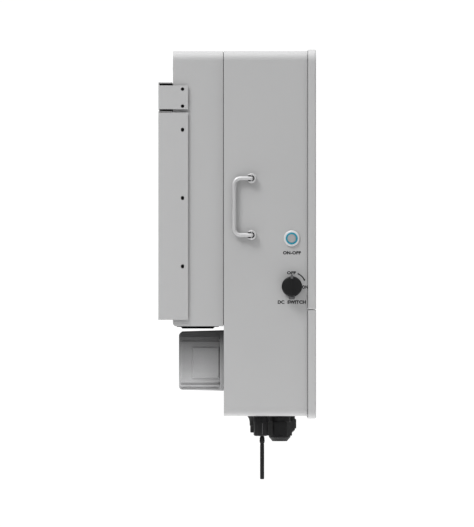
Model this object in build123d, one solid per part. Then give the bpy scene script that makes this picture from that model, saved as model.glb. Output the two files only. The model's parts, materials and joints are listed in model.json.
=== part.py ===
from build123d import *
import math
import os

# String inverter for wall mounting. Millimetres, +Z up, front faces -Y, the wall is the plane y = 0.
# The origin is the centre of the wall bracket's bolt pattern, on the wall.
# The helpers below take depths out from the wall and heights above the underside of the housing.

# ---- driving dimensions -------------------------------------------------------------------------
WIDTH = 530.0                # housing, side to side
HEIGHT = 890.0               # housing, bottom to top
HOUSING_REAR = 159.5         # depth of the housing's rear wall
HOUSING_FRONT = 363.5        # depth of the housing's front rim
OVERALL_DEPTH = 384.4        # depth of the front cover's face
CORNER = 22.0                # radius of the housing's long edges
SHEET = 2.5                  # thickness of the painted sheet
MOUNT_HEIGHT = 779.0         # wall bolt pattern above the housing's underside

COVER_OVERHANG = 7.0         # front cover beyond the housing's sides
COVER_DROP = 6.0             # front cover below the housing's underside
COVER_RISE = 3.5             # front cover above the housing's top
COVER_SPLIT = 260.0          # height of the gap between the two covers
SPLIT_GAP = 2.4
SEAL_THICKNESS = 1.2

SHROUD_WIDTH = 500.0
SHROUD_REAR = 35.6
SHROUD_FRONT = 158.0
SHROUD_BOTTOM = 219.0
FAN_SIZE = 82.0
FAN_DEPTH = 96.0             # depth of the fans' axes
FAN_PITCH = 140.0
FAN_COUNT = 3

BOX_WIDTH = 430.0            # cast inductor box
BOX_REAR = 50.0
BOX_BOTTOM = 61.6
BOX_TOP = 207.0

FLANGE_X = SHROUD_WIDTH / 2 + 4.0     # inner face of the bracket's and the rear frame's side flanges
FLANGE_DEPTH = 72.3
PLATE = 2.5                  # bracket and rear frame sheet
HOLE_DEPTH = 59.0            # depth of the holes in the side flanges

HANDLE_DEPTH = 227.0         # depth of the handle's pivots
HANDLE_REACH = 41.7          # pivot to grip
HANDLE_LOW = 441.2           # heights of the two legs
HANDLE_HIGH = 579.5
HANDLE_ROD = 10.0
HANDLE_STAND = 8.5           # rod's centre off the housing's side

BUTTON_DEPTH = 325.0
BUTTON_HEIGHT = 433.0
SWITCH_DEPTH = 325.4
SWITCH_HEIGHT = 316.0
KNOB_RADIUS = 24.8

GLAND_DEPTH = 296.0          # large cable glands
GLAND_RADIUS = 27.2
GLAND_XS = (-180.0, 180.0)
SMALL_GLAND_DEPTH = 315.0
SMALL_GLAND_RADIUS = 20.0
SMALL_GLAND_XS = (-20.0, 50.0)
PV_DEPTHS = {"pv_sockets_positive": 233.0, "pv_sockets_negative": 277.0}
PV_FIRST_X = -140.0
PV_PITCH = 38.0
PV_COUNT = 8
MODULE_X = -215.0            # plug-in communication module
MODULE_DEPTH = 249.7
MODULE_RADIUS = 17.5
MODULE_LENGTH = 49.0
ANTENNA_DEPTH = 253.0
ANTENNA_LENGTH = 154.4       # antenna's tip below the housing's underside
KNUCKLE_DROP = 60.0          # antenna's tilt pivot below the housing's underside

SIDE = WIDTH / 2
LEFT = -SIDE


# ---- helpers ------------------------------------------------------------------------------------
def z_at(height):
    """Z of a height above the housing's underside."""
    return height - MOUNT_HEIGHT


def block(x, depth, height):
    """Box between pairs of limits."""
    size = (x[1] - x[0], depth[1] - depth[0], height[1] - height[0])
    centre = (sum(x) / 2, -sum(depth) / 2, z_at(sum(height) / 2))
    return Pos(*centre) * Box(*size)


def disc_x(x, depth, height, radius):
    """Cylinder along X."""
    return Pos(sum(x) / 2, -depth, z_at(height)) * Rot(0, 90, 0) * Cylinder(radius, abs(x[1] - x[0]))


def disc_y(x, depth, height, radius):
    """Cylinder along Y."""
    return Pos(x, -sum(depth) / 2, z_at(height)) * Rot(90, 0, 0) * Cylinder(radius, abs(depth[1] - depth[0]))


def disc_z(x, depth, height, radius):
    """Cylinder along Z."""
    return Pos(x, -depth, z_at(sum(height) / 2)) * Cylinder(radius, abs(height[1] - height[0]))


def hex_z(x, depth, height, radius):
    """Hexagonal prism along Z, radius to its corners."""
    sketch = Plane.XY.offset(z_at(height[0])) * Pos(x, -depth) * RegularPolygon(radius, 6)
    return extrude(sketch, amount=height[1] - height[0])


def cone_z(x, depth, height, radii):
    """Cone along Z, radii at its low and high ends."""
    return Pos(x, -depth, z_at(sum(height) / 2)) * Cone(radii[0], radii[1], height[1] - height[0])


def slab(width, depth, height, radius):
    """Plate or case in the XZ plane with all four long edges rounded."""
    tall = height[1] - height[0]
    sketch = Plane.XZ.offset(depth[0]) * Pos(0, z_at(sum(height) / 2)) * RectangleRounded(width, tall, radius)
    return extrude(sketch, amount=depth[1] - depth[0])


def arch(width, depth, height, radius):
    """As slab, with only the two top edges rounded."""
    return slab(width, depth, height, radius) + block(
        (-width / 2, width / 2), depth, (height[0], height[0] + 2 * radius)
    )


def cut(solid, tools):
    for tool in tools:
        solid = solid - tool
    return solid


def save(node, shape):
    if isinstance(shape, list):
        shape = Compound(children=shape)
    export_step(shape, f"parts/{node}.step")


def pv_positions(depth):
    return [(PV_FIRST_X + i * PV_PITCH, depth) for i in range(PV_COUNT)]


def fan_xs():
    return [(i - (FAN_COUNT - 1) / 2) * FAN_PITCH for i in range(FAN_COUNT)]


# ---- casing -------------------------------------------------------------------------------------
RIM = 16.0                   # inward rim around the housing's front
SINK_WIDTH = 450.0
SINK_LOW = 262.0
SINK_HIGH = 872.0
SINK_TIP = 62.0              # depths of the fins' tips and roots
SINK_ROOT = 148.0
FIN = 2.4
FIN_PITCH = 12.0


def main_housing():
    outer = slab(WIDTH, (HOUSING_REAR, HOUSING_FRONT), (0, HEIGHT), CORNER)
    inner = slab(
        WIDTH - 2 * SHEET,
        (HOUSING_REAR + SHEET, HOUSING_FRONT - SHEET),
        (SHEET, HEIGHT - SHEET),
        CORNER - SHEET,
    )
    mouth = slab(WIDTH - 2 * RIM, (HOUSING_FRONT - 2 * SHEET, HOUSING_FRONT + 1), (RIM, HEIGHT - RIM), 8)
    wall = (-1.0, SHEET + 1)
    skin = (LEFT - 1, LEFT + SHEET + 1)
    holes = [
        block((-210, 210), (HOUSING_REAR - 1, HOUSING_REAR + 2 * SHEET), (SINK_LOW + 20, SINK_HIGH - 20)),
        block((-150, 150), (HOUSING_REAR - 1, HOUSING_REAR + 2 * SHEET), (BOX_BOTTOM + 30, BOX_TOP - 30)),
        disc_x(skin, BUTTON_DEPTH, BUTTON_HEIGHT, 13.2),
        disc_x(skin, SWITCH_DEPTH, SWITCH_HEIGHT, 8),
        disc_z(MODULE_X, MODULE_DEPTH, wall, 12),
        disc_z(EARTH_X, EARTH_DEPTH, wall, 4),
        disc_z(VENT_X, VENT_DEPTH, wall, 5),
    ]
    holes += [disc_z(x, GLAND_DEPTH, wall, 24) for x in GLAND_XS]
    holes += [disc_z(x, SMALL_GLAND_DEPTH, wall, 16) for x in SMALL_GLAND_XS]
    for depth in PV_DEPTHS.values():
        holes += [disc_z(x, d, wall, 8) for x, d in pv_positions(depth)]
    return cut(outer - inner - mouth, holes)


def cover(low, high):
    """Dished cover, open at the back."""
    full = (-COVER_DROP, HEIGHT + COVER_RISE)
    width = WIDTH + 2 * COVER_OVERHANG
    back = HOUSING_FRONT + SEAL_THICKNESS
    outer = slab(width, (back, OVERALL_DEPTH), full, CORNER + COVER_OVERHANG)
    outer = fillet(outer.faces().sort_by(Axis.Y)[0].edges(), 4)
    inner = slab(
        width - 2 * SHEET, (back - 1, OVERALL_DEPTH - SHEET), (full[0] + SHEET, full[1] - SHEET), CORNER
    )
    keep = block((-width, width), (0, 2 * OVERALL_DEPTH), (low, high))
    wall = (high - SHEET, high) if low < 0 else (low, low + SHEET)
    flange = block((-width / 2 + SHEET, width / 2 - SHEET), (back, OVERALL_DEPTH - SHEET), wall)
    return ((outer - inner) & keep) + flange


def front_cover_upper():
    lid = cover(COVER_SPLIT + SPLIT_GAP / 2, HEIGHT + COVER_RISE + 1)
    through = (OVERALL_DEPTH - 10, OVERALL_DEPTH + 1)
    window = block((-WINDOW_WIDTH / 2, WINDOW_WIDTH / 2), through, WINDOW_SPAN)
    return lid - window


def front_cover_lower():
    lid = cover(-COVER_DROP - 1, COVER_SPLIT - SPLIT_GAP / 2)
    for x, h in COVER_SCREWS:
        lid += disc_y(x, (OVERALL_DEPTH - 10, OVERALL_DEPTH - SHEET), h, 9)
        lid -= disc_y(x, (OVERALL_DEPTH - 4, OVERALL_DEPTH + 1), h, 6)
        lid -= disc_y(x, (OVERALL_DEPTH - 11, OVERALL_DEPTH), h, 3.2)
    return lid


WINDOW_WIDTH = 150.0
WINDOW_SPAN = (640.0, 700.0)
COVER_SCREWS = [(x, h) for x in (-225.0, 225.0) for h in (30.0, 225.0)]


def ring(width, depth, height, radius, band):
    """Flat frame."""
    inner = (height[0] + band, height[1] - band)
    hole = slab(width - 2 * band, (depth[0] - 1, depth[1] + 1), inner, max(radius - band, 2))
    return slab(width, depth, height, radius) - hole


def cover_seal(height):
    depth = (HOUSING_FRONT, HOUSING_FRONT + SEAL_THICKNESS)
    return ring(WIDTH - 8, depth, height, 8, 8)


def cover_screws():
    """Socket-head screws sunk in the lower cover."""
    seat = OVERALL_DEPTH - 4
    screws = []
    for x, h in COVER_SCREWS:
        head = disc_y(x, (seat, OVERALL_DEPTH - 0.5), h, 5.5)
        socket = extrude(Plane.XZ.offset(seat + 1) * Pos(x, z_at(h)) * RegularPolygon(2.9, 6), amount=3)
        screws.append(head - socket + disc_y(x, (seat - 16, seat), h, 3))
    return screws


def status_window():
    return block((-WINDOW_WIDTH / 2 + 0.4, WINDOW_WIDTH / 2 - 0.4),
                 (OVERALL_DEPTH - 4, OVERALL_DEPTH), (WINDOW_SPAN[0] + 0.4, WINDOW_SPAN[1] - 0.4))


def status_lights():
    height = sum(WINDOW_SPAN) / 2
    return [disc_y(x, (OVERALL_DEPTH - 9, OVERALL_DEPTH - 4), height, 3) for x in (-45, -30, -15, 0)]


# ---- cooling ------------------------------------------------------------------------------------
FAN_LOW = 221.0              # underside of the fan frames
FAN_TALL = 25.0
FAN_BORE = 38.0              # radius of the air's way through
GUARD_REACH = 52.0           # guard's flange, from the fan's axis


def shroud_seal():
    depth = (SHROUD_FRONT, HOUSING_REAR)
    height = (SHROUD_BOTTOM + 2, HEIGHT - 2)
    return ring(SHROUD_WIDTH - 4, depth, height, 18, 8)


def heat_sink():
    span = (SINK_LOW, SINK_HIGH)
    base = block((-SINK_WIDTH / 2, SINK_WIDTH / 2), (SINK_ROOT, HOUSING_REAR), span)
    count = int((SINK_WIDTH - 6) / FIN_PITCH)
    first = -FIN_PITCH * (count - 1) / 2
    fins = [
        block((x - FIN / 2, x + FIN / 2), (SINK_TIP, SINK_ROOT), span)
        for x in (first + i * FIN_PITCH for i in range(count))
    ]
    return base.fuse(*fins)


def rear_shroud():
    outer = arch(SHROUD_WIDTH, (SHROUD_REAR, SHROUD_FRONT), (SHROUD_BOTTOM, HEIGHT), CORNER)
    low_edges = outer.edges().filter_by(Axis.X).group_by(Axis.Z)[0].sort_by(Axis.Y)
    outer = fillet(low_edges[-1], 8)
    inner = arch(
        SHROUD_WIDTH - 4, (SHROUD_REAR + 2, SHROUD_FRONT + 1), (SHROUD_BOTTOM + 2, HEIGHT - 2), CORNER - 2
    )
    corner = block((-SHROUD_WIDTH, SHROUD_WIDTH), (SHROUD_REAR, SHROUD_REAR + 12),
                   (SHROUD_BOTTOM, SHROUD_BOTTOM + 12))
    inlets = [disc_z(x, FAN_DEPTH, (SHROUD_BOTTOM - 1, SHROUD_BOTTOM + 3), FAN_BORE)
              for x in fan_xs()]
    outlets = [
        block((x - 16, x + 16), (depth - 4, depth + 4), (HEIGHT - 4, HEIGHT + 1))
        for x in range(-200, 201, 40)
        for depth in (60, 80, 100, 120)
    ]
    through = (-SHROUD_WIDTH, SHROUD_WIDTH)
    side_holes = [disc_x(through, HOLE_DEPTH, h, 4) for h in EAR_HOLES + FRAME_SLOTS]
    shell = outer - (inner - corner)
    return cut(shell, inlets + outlets + side_holes)


def fan_guards():
    """Moulded finger guards: a square rim on a thin flange, rings and four spokes."""
    guards = []
    low = SHROUD_BOTTOM - 6
    half = FAN_SIZE / 2
    for x in fan_xs():
        sides = (x - half, x + half)
        rim = block(sides, (FAN_DEPTH - half, FAN_DEPTH + half), (low, SHROUD_BOTTOM))
        rim = chamfer(rim.faces().sort_by(Axis.Z)[0].edges(), 3.5)
        flange_depth = (FAN_DEPTH - GUARD_REACH, FAN_DEPTH + GUARD_REACH)
        flange = block(sides, flange_depth, (SHROUD_BOTTOM - 2, SHROUD_BOTTOM))
        flange = chamfer(flange.faces().sort_by(Axis.Z)[0].edges().filter_by(Axis.X), 1.8)
        guard = rim + flange - disc_z(x, FAN_DEPTH, (low - 1, SHROUD_BOTTOM + 1), FAN_BORE)
        for radius in (30, 22, 14):
            guard += disc_z(x, FAN_DEPTH, (low, low + 3), radius) - disc_z(
                x, FAN_DEPTH, (low - 1, low + 4), radius - 2
            )
        for angle in (45, 135):
            spoke = Pos(x, -FAN_DEPTH, z_at(low + 1.5)) * Rot(0, 0, angle) * Box(78, 2.4, 3)
            guard += spoke
        guards.append(guard)
    return guards


def fan_frame(x):
    half = FAN_SIZE / 2 - 1
    span = (FAN_LOW, FAN_LOW + FAN_TALL)
    frame = block((x - half, x + half), (FAN_DEPTH - half, FAN_DEPTH + half), span)
    frame -= disc_z(x, FAN_DEPTH, (span[0] - 1, span[1] + 1), FAN_BORE)
    for angle in range(0, 180, 60):
        frame += Pos(x, -FAN_DEPTH, z_at(span[1] - 1.5)) * Rot(0, 0, angle) * Box(77, 4, 3)
    frame += disc_z(x, FAN_DEPTH, (span[1] - 6, span[1]), 15)
    return frame - disc_z(x, FAN_DEPTH, (span[1] - 7, span[1] + 1), 2.05)


def fan_rotor(x):
    low = FAN_LOW + 2
    high = FAN_LOW + FAN_TALL - 6.6
    rotor = disc_z(x, FAN_DEPTH, (low, high), 16) + disc_z(x, FAN_DEPTH, (high, high + 5), 2)
    for i in range(7):
        blade = Pos(25, 0, 0) * Rot(34, 0, 0) * Box(21, 20, 1.6)
        rotor += Pos(x, -FAN_DEPTH, z_at((low + high) / 2)) * Rot(0, 0, i * 360 / 7) * blade
    return rotor


# ---- cast inductor box --------------------------------------------------------------------------
def inductor_box():
    """Hollow casting with drafted, ribbed ends, open to the housing, on a flange."""
    half = BOX_WIDTH / 2
    root = HOUSING_REAR - 0.5
    profile = Polyline(
        (-BOX_REAR, z_at(BOX_BOTTOM + 2.4)),
        (-root, z_at(BOX_BOTTOM)),
        (-root, z_at(BOX_TOP)),
        (-BOX_REAR, z_at(BOX_TOP - 3)),
        close=True,
    )
    side = Plane.YZ.offset(-half) * make_face(profile)
    solid = extrude(side, amount=BOX_WIDTH)
    rear = solid.faces().sort_by(Axis.Y)[-1].edges()
    solid = fillet(rear, 9)
    hollow = block((-half + 6, half - 6), (BOX_REAR + 5, root + 1), (BOX_BOTTOM + 8, BOX_TOP - 9))
    solid = solid - hollow
    for end in (-1, 1):
        skin = sorted((end * (half + 1), end * (half - 3)))
        for low, tall in GROOVES:
            groove = block(skin, (BOX_REAR - 1, root - 14), (low, low + tall))
            groove += disc_x(skin, root - 14, low + tall / 2, tall / 2)
            solid -= groove
        pad = block(sorted((end * (half - 1), end * (half + PAD_RISE))), PAD_DEPTH, PAD_SPAN)
        face = pad.faces().sort_by(Axis.X)[0 if end < 0 else -1]
        solid += chamfer(face.edges(), PAD_RISE - 0.5)
    flange = block((-half - 10, half + 10), (root - 9, root), (BOX_BOTTOM, BOX_TOP))
    flange = chamfer(flange.faces().sort_by(Axis.Y)[-1].edges().filter_by(Axis.Z), 3)
    flange -= block((-half + 6, half - 6), (root - 10, root + 1), (BOX_BOTTOM + 8, BOX_TOP - 9))
    return cut(solid + flange, [disc_y(x, (root - 10, root + 1), h, 2.6) for x, h in box_screw_points()])


GROOVES = ((66.5, 5.0), (76.0, 5.5), (181.5, 7.5), (193.0, 7.5))     # low edge and width of each
PAD_RISE = 4.0               # raised pad on each end of the box
PAD_DEPTH = (82.0, 150.0)
PAD_SPAN = (92.0, 169.0)


def box_screw_points():
    """Screws up the flange's two ends."""
    ends = BOX_WIDTH / 2 + 5
    return [(x, h) for x in (-ends, ends) for h in (80, 187)]


def inductor_box_screws():
    root = HOUSING_REAR - 0.5
    screws = []
    for x, h in box_screw_points():
        screws.append(disc_y(x, (root - 12, root - 9), h, 3.2) + disc_y(x, (root - 9, root), h, 2.5))
    return screws


def inductor_coil(x):
    """Toroid lying on its side against the box floor, wound in two halves."""
    depth = (72, 132)
    height = sum((BOX_BOTTOM, BOX_TOP)) / 2
    return disc_y(x, depth, height, 55) - disc_y(x, (depth[0] - 1, depth[1] + 1), height, 22)


# ---- hanging on the wall ------------------------------------------------------------------------
EAR_LOW = 748.0
EAR_HIGH = 806.0
EAR_HOLES = (755.4, 797.0)
FRAME_LOW = 234.6
FRAME_HIGH = 743.6
FRAME_SLOTS = (365.0, 531.5, 698.0)
WALL_HOLE_X = 200.0
WALL_HOLE_Z = 18.0


def wall_bracket():
    reach = FLANGE_X + PLATE
    plate = block((-reach, reach), (0, PLATE), (EAR_LOW, 813.6))
    top = block((-reach + 4, reach - 4), (0, 34), (813.6 - PLATE, 813.6))
    bracket = plate + top
    for sign in (-1, 1):
        bend = sorted((sign * FLANGE_X, sign * reach))
        ear = block(bend, (0, FLANGE_DEPTH), (EAR_LOW, EAR_HIGH))
        ear = fillet(ear.edges().filter_by(Axis.X).group_by(Axis.Y)[0], 1.5)
        bracket += cut(ear, [disc_x((bend[0] - 1, bend[1] + 1), HOLE_DEPTH, h, 4.2) for h in EAR_HOLES])
    bracket = fillet(bracket.edges().filter_by(Axis.Z).group_by(Axis.Y)[-1], 2)
    holes = [
        disc_y(x, (-1, PLATE + 1), MOUNT_HEIGHT + z, 4.5)
        for x in (-WALL_HOLE_X, WALL_HOLE_X)
        for z in (-WALL_HOLE_Z, WALL_HOLE_Z)
    ]
    return cut(bracket, holes)


def rear_frame():
    reach = FLANGE_X + PLATE
    plate = block((-reach, reach), (0, PLATE), (FRAME_LOW, FRAME_HIGH))
    plate -= block((-170, 170), (-1, PLATE + 1), (FRAME_LOW + 60, FRAME_HIGH - 60))
    frame = plate + block((-reach + 4, reach - 4), (0, 34), (FRAME_HIGH - PLATE, FRAME_HIGH))
    for sign in (-1, 1):
        bend = sorted((sign * FLANGE_X, sign * reach))
        flange = block(bend, (0, FLANGE_DEPTH), (FRAME_LOW, FRAME_HIGH - 3.8))
        slots = []
        for h in FRAME_SLOTS:
            wide = (bend[0] - 1, bend[1] + 1)
            slots += [disc_x(wide, HOLE_DEPTH, h - 1, 4), disc_x(wide, HOLE_DEPTH, h + 1, 4)]
            slots.append(block(wide, (HOLE_DEPTH - 4, HOLE_DEPTH + 4), (h - 1, h + 1)))
        frame += cut(flange, slots)
    return fillet(frame.edges().filter_by(Axis.Z).group_by(Axis.Y)[-1], 2)


def hanger_bar():
    """Channel on the shroud's rear that hooks over the wall bracket."""
    outer = block((-230, 230), (PLATE + 1.5, SHROUD_REAR), (746, 808))
    return outer - block((-231, 231), (PLATE + 4, SHROUD_REAR - 3), (749, 805))


# ---- folding handles ----------------------------------------------------------------------------
BOSS_RADIUS = 11.8
BOSS_HEIGHT = 13.0
BOSS_GAP = 7.4               # radius of a boss's round recess
PIVOT_RADIUS = 2.0


def handle_bosses(sign):
    """Two round bosses, hollow and open to the rear, each with its hinge pin."""
    bosses = []
    pivot = sign * (SIDE + HANDLE_STAND)
    for h in (HANDLE_LOW, HANDLE_HIGH):
        boss = disc_x(sorted((sign * SIDE, sign * (SIDE + BOSS_HEIGHT))), HANDLE_DEPTH, h, BOSS_RADIUS)
        boss = chamfer(boss.faces().sort_by(Axis.X)[0 if sign < 0 else -1].edges(), 1.2)
        hollow = sorted((sign * (SIDE + 2.9), sign * (SIDE + BOSS_HEIGHT + 1)))
        mouth = block(hollow, (HANDLE_DEPTH - BOSS_RADIUS - 1, HANDLE_DEPTH), (h - BOSS_GAP, h + BOSS_GAP))
        mouth += disc_x(hollow, HANDLE_DEPTH, h, BOSS_GAP)
        pin = disc_z(pivot, HANDLE_DEPTH, (h - 9, h + 9), PIVOT_RADIUS)
        bosses.append(boss - mouth + pin)
    return bosses


def handle(sign):
    """Bent rod, folded flat against the side with its grip to the rear."""
    x = sign * (SIDE + HANDLE_STAND)
    grip = HANDLE_DEPTH - HANDLE_REACH
    path = FilletPolyline(
        (x, -HANDLE_DEPTH, z_at(HANDLE_LOW)),
        (x, -grip, z_at(HANDLE_LOW)),
        (x, -grip, z_at(HANDLE_HIGH)),
        (x, -HANDLE_DEPTH, z_at(HANDLE_HIGH)),
        radius=15,
    )
    rod = sweep(Plane(origin=path @ 0, z_dir=path % 0) * Circle(HANDLE_ROD / 2), path=path)
    for h in (HANDLE_LOW, HANDLE_HIGH):
        rod += Pos(x, -HANDLE_DEPTH, z_at(h)) * Sphere(HANDLE_ROD / 2)
        rod -= disc_z(x, HANDLE_DEPTH, (h - 9, h + 9), PIVOT_RADIUS + 0.05)
    return rod


# ---- power button -------------------------------------------------------------------------------
BEZEL_RADIUS = 19.4
LIGHT_OUTER = 14.3
LIGHT_INNER = 11.7
CAP_RADIUS = 11.4


def power_button_bezel():
    flange = disc_x((LEFT - 4, LEFT), BUTTON_DEPTH, BUTTON_HEIGHT, BEZEL_RADIUS)
    flange = chamfer(flange.faces().sort_by(Axis.X)[0].edges(), 1.5)
    tube = disc_x((LEFT, LEFT + 22), BUTTON_DEPTH, BUTTON_HEIGHT, 13.0)
    nut = extrude(
        Plane.YZ.offset(LEFT + SHEET) * Pos(-BUTTON_DEPTH, z_at(BUTTON_HEIGHT)) * RegularPolygon(18, 6), amount=5
    )
    body = flange + tube + nut
    body -= disc_x((LEFT - 5, LEFT - 1.5), BUTTON_DEPTH, BUTTON_HEIGHT, LIGHT_OUTER + 0.1)
    return body - disc_x((LEFT - 5, LEFT + 23), BUTTON_DEPTH, BUTTON_HEIGHT, CAP_RADIUS + 0.1)


def power_button_light_ring():
    outer = disc_x((LEFT - 4.2, LEFT - 1.5), BUTTON_DEPTH, BUTTON_HEIGHT, LIGHT_OUTER)
    return outer - disc_x((LEFT - 5, LEFT), BUTTON_DEPTH, BUTTON_HEIGHT, LIGHT_INNER)


def power_button_cap():
    cap = disc_x((LEFT - 5.5, LEFT + 14), BUTTON_DEPTH, BUTTON_HEIGHT, CAP_RADIUS)
    return fillet(cap.faces().sort_by(Axis.X)[0].edges(), 0.8)


def power_button_switch():
    low = LEFT + 17.5
    body = disc_x((low, LEFT + 36), BUTTON_DEPTH, BUTTON_HEIGHT, 9.5)
    pins = [
        block((LEFT + 36, LEFT + 42), (BUTTON_DEPTH + d - 0.4, BUTTON_DEPTH + d + 0.4),
              (BUTTON_HEIGHT - 1.5, BUTTON_HEIGHT + 1.5))
        for d in (-5, 0, 5)
    ]
    return body.fuse(*pins)


# ---- DC switch ----------------------------------------------------------------------------------
KNOB_HEIGHT = 23.0
BASE_HEIGHT = 4.0


def dc_switch_base():
    """Fixed plate under the knob, with the tab that shows below it."""
    disc = disc_x((LEFT - BASE_HEIGHT, LEFT), SWITCH_DEPTH, SWITCH_HEIGHT, 23)
    tab = block((LEFT - BASE_HEIGHT, LEFT), (SWITCH_DEPTH - 7, SWITCH_DEPTH + 7),
                (SWITCH_HEIGHT - KNOB_RADIUS - 6.5, SWITCH_HEIGHT - 10))
    body = disc + fillet(tab.edges().filter_by(Axis.X).group_by(Axis.Z)[0], 2.5)
    return body - disc_x((LEFT - 6, LEFT + 1), SWITCH_DEPTH, SWITCH_HEIGHT, 5.05)


def dc_switch_knob():
    """Round knob with a raised grip bar, a pointer at the top and its shaft."""
    low = LEFT - BASE_HEIGHT - 0.6
    high = LEFT - BASE_HEIGHT - KNOB_HEIGHT
    skirt = disc_x((low - 9, low), SWITCH_DEPTH, SWITCH_HEIGHT, KNOB_RADIUS)
    skirt = chamfer(skirt.faces().sort_by(Axis.X)[0].edges(), 2)
    grip = block((high, low - 8), (SWITCH_DEPTH - 7, SWITCH_DEPTH + 7),
                 (SWITCH_HEIGHT - KNOB_RADIUS + 1, SWITCH_HEIGHT + KNOB_RADIUS - 1))
    grip = fillet(grip.edges().filter_by(Axis.X), 5)
    pointer = block((low - 9, low), (SWITCH_DEPTH - 3.8, SWITCH_DEPTH + 3.8),
                    (SWITCH_HEIGHT + KNOB_RADIUS - 4, SWITCH_HEIGHT + KNOB_RADIUS + 4))
    shaft = disc_x((low, LEFT + 12), SWITCH_DEPTH, SWITCH_HEIGHT, 5)
    return skirt + grip + pointer + shaft


def dc_switch_body():
    """Disconnect switch behind the housing's side."""
    body = block((LEFT + SHEET + 0.5, LEFT + 92), (SWITCH_DEPTH - 30, SWITCH_DEPTH + 30),
                 (SWITCH_HEIGHT - 30, SWITCH_HEIGHT + 30))
    body -= disc_x((LEFT, LEFT + 13), SWITCH_DEPTH, SWITCH_HEIGHT, 5.05)
    for i in range(4):
        x = LEFT + 22 + i * 17
        body += block((x - 4, x + 4), (SWITCH_DEPTH - 34, SWITCH_DEPTH + 34), (SWITCH_HEIGHT - 6, SWITCH_HEIGHT + 6))
    return body


# ---- underside ----------------------------------------------------------------------------------
EARTH_X = 235.0
EARTH_DEPTH = 300.0
VENT_X = 120.0
VENT_DEPTH = 325.0


def gland_body(x, depth, radius, bore, drop):
    """Threaded gland body: collar under the housing, locknut inside."""
    body = disc_z(x, depth, (-drop, 0), radius) + disc_z(x, depth, (0, 14), bore + 4)
    body += hex_z(x, depth, (SHEET, SHEET + 6), radius)
    return body - disc_z(x, depth, (-drop - 1, 15), bore)


def gland_cap(x, depth, radius, bore, drop, length, tip):
    """Ribbed dome nut of a gland."""
    body = disc_z(x, depth, (-drop - length * 0.62, -drop), radius)
    body += cone_z(x, depth, (-drop - length, -drop - length * 0.62), (tip, radius))
    grooves = []
    for i in range(16):
        angle = math.radians(i * 22.5)
        grooves.append(
            disc_z(x + radius * math.cos(angle), depth + radius * math.sin(angle),
                   (-drop - length * 0.55, -drop + 1), radius * 0.05)
        )
    return cut(body - disc_z(x, depth, (-drop - length - 1, -drop + 1), bore), grooves)


def large_gland_bodies():
    return [gland_body(x, GLAND_DEPTH, GLAND_RADIUS - 1.2, 19, 14) for x in GLAND_XS]


def large_gland_caps():
    return [gland_cap(x, GLAND_DEPTH, GLAND_RADIUS, 17, 14, 48, 18.5) for x in GLAND_XS]


def large_gland_inserts():
    """Rubber sleeves that grip the cable."""
    return [
        disc_z(x, GLAND_DEPTH, (-56, -14), 17) - disc_z(x, GLAND_DEPTH, (-57, -13), 14) for x in GLAND_XS
    ]


def small_gland_bodies():
    return [gland_body(x, SMALL_GLAND_DEPTH, SMALL_GLAND_RADIUS - 1, 12, 10) for x in SMALL_GLAND_XS]


def small_gland_caps():
    return [
        gland_cap(x, SMALL_GLAND_DEPTH, SMALL_GLAND_RADIUS, 9, 10, 33, 13) for x in SMALL_GLAND_XS
    ]


def pv_sockets(depth):
    """Panel sockets: flange, body with latch shoulders, and an open mouth for the plug."""
    sockets = []
    for x, d in pv_positions(depth):
        socket = disc_z(x, d, (-4, 0), 15.5) + disc_z(x, d, (-25, -4), 10) + disc_z(x, d, (-41.6, -25), 8.6)
        socket += disc_z(x, d, (0, 12), 7.8)
        sockets.append(socket - disc_z(x, d, (-42.6, -14), 6))
    return sockets


def module_nut():
    """Coupling nut that holds the plug-in module."""
    nut = disc_z(MODULE_X, MODULE_DEPTH, (-16, 0), MODULE_RADIUS)
    grooves = []
    for i in range(20):
        angle = math.radians(i * 18)
        grooves.append(disc_z(MODULE_X + MODULE_RADIUS * math.cos(angle),
                              MODULE_DEPTH + MODULE_RADIUS * math.sin(angle), (-14, 1), 0.9))
    return cut(nut - disc_z(MODULE_X, MODULE_DEPTH, (-17, 1), 12), grooves)


def module_body():
    body = disc_z(MODULE_X, MODULE_DEPTH, (-MODULE_LENGTH, -16), MODULE_RADIUS)
    body = chamfer(body.faces().sort_by(Axis.Z)[0].edges(), 3)
    body += disc_z(MODULE_X, MODULE_DEPTH, (-16, 18), 11.9)
    return body - disc_z(MODULE_X, ANTENNA_DEPTH, (-MODULE_LENGTH - 1, -38), 3.05)


COLLAR_RADIUS = 6.5


def antenna_base():
    """Turning collar with a fork and the tilt pin."""
    collar = disc_z(MODULE_X, ANTENNA_DEPTH, (-KNUCKLE_DROP, -MODULE_LENGTH - 0.4), COLLAR_RADIUS)
    below = disc_z(MODULE_X, ANTENNA_DEPTH, (-KNUCKLE_DROP - 9, -KNUCKLE_DROP), COLLAR_RADIUS)
    cheeks = below & disc_x((MODULE_X - 9, MODULE_X + 9), ANTENNA_DEPTH, -KNUCKLE_DROP, 7.4)
    slot = block((MODULE_X - 2.6, MODULE_X + 2.6), (ANTENNA_DEPTH - 9, ANTENNA_DEPTH + 9),
                 (-KNUCKLE_DROP - 12, -KNUCKLE_DROP + 5.2))
    pin = disc_x((MODULE_X - 5, MODULE_X + 5), ANTENNA_DEPTH, -KNUCKLE_DROP, 1.5)
    stem = disc_z(MODULE_X, ANTENNA_DEPTH, (-MODULE_LENGTH - 1, -40), 3)
    return collar + cheeks - slot + pin + stem


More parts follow.
